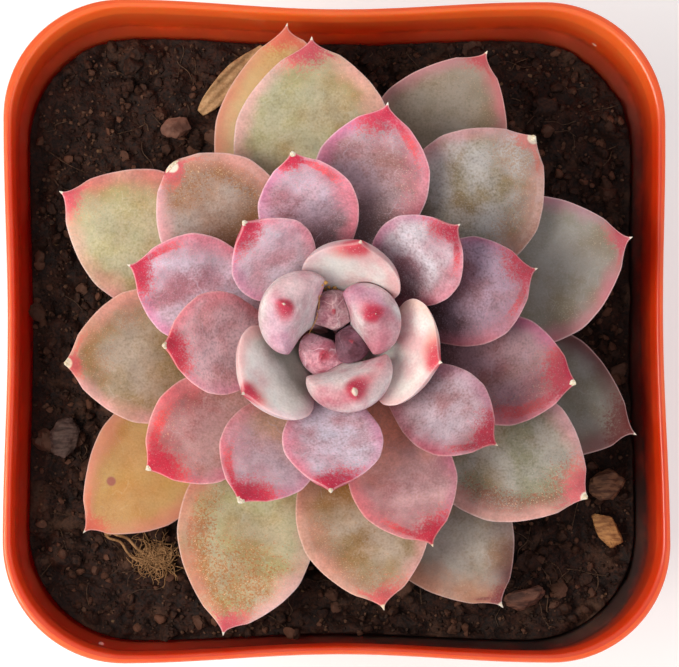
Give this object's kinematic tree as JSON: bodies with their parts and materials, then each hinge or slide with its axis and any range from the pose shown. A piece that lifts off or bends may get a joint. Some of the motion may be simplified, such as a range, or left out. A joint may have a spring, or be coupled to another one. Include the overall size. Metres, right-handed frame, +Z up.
{
  "type": "potted succulent",
  "caption": "Rosette succulent with pointed fleshy leaves, frosted grey-green to rose, standing on a short stem in a square flared plastic pot of dark soil.",
  "frame": {"origin": "middle of the pot's footprint, on the surface that the pot stands on", "axes": "+Z up out of the pot, +Y towards the far side of the pot as pictured from above, +X to the right"},
  "size_m": [0.1, 0.1, 0.1109],
  "materials": {
    "pot_plastic": "thin moulded orange-red plastic with a soft gloss",
    "potting_soil": "damp crumbly peat",
    "stem_tissue": "dull fleshy stem",
    "leaf_bud": "waxy, dusky purple-pink",
    "leaf_pale": "thick white bloom over pink and cream",
    "leaf_lilac": "white bloom over lilac, crimson at the tip",
    "leaf_rose": "thin bloom over dusky rose and brown-green",
    "leaf_old": "thin bloom over grey-green, pink along the rims",
    "leaf_gold": "golden ageing leaf with salmon rims",
    "bark": "rough dry bark",
    "pebble_stone": "dull pinkish stone",
    "dry_leaf": "dry, curled and papery",
    "dry_fibre": "dry tan root fibres"
  },
  "bodies": {
    "root": {"pot": "pot_plastic", "soil": "potting_soil", "stem": "stem_tissue", "leaf_01": "leaf_bud", "leaf_02": "leaf_bud", "leaf_03": "leaf_bud", "leaf_04": "leaf_pale", "leaf_05": "leaf_pale", "leaf_06": "leaf_pale", "leaf_07": "leaf_pale", "leaf_08": "leaf_pale", "leaf_09": "leaf_pale", "leaf_10": "leaf_lilac", "leaf_11": "leaf_lilac", "leaf_12": "leaf_lilac", "leaf_13": "leaf_lilac", "leaf_14": "leaf_lilac", "leaf_15": "leaf_lilac", "leaf_16": "leaf_lilac", "leaf_17": "leaf_lilac", "leaf_18": "leaf_lilac", "leaf_19": "leaf_lilac", "leaf_20": "leaf_rose", "leaf_21": "leaf_rose", "leaf_22": "leaf_rose", "leaf_23": "leaf_rose", "leaf_24": "leaf_rose", "leaf_25": "leaf_old", "leaf_26": "leaf_rose", "leaf_27": "leaf_old", "leaf_28": "leaf_old", "leaf_29": "leaf_old", "leaf_30": "leaf_old", "leaf_31": "leaf_old", "leaf_32": "leaf_old", "leaf_33": "leaf_old", "leaf_34": "leaf_gold", "leaf_35": "leaf_old", "leaf_36": "leaf_gold", "bark_chip_1": "bark", "bark_chip_2": "bark", "bark_chip_3": "bark", "bark_chip_4": "bark", "pebble": "pebble_stone", "withered_leaf": "dry_leaf", "dry_root": "dry_fibre"}
  },
  "joints": []
}
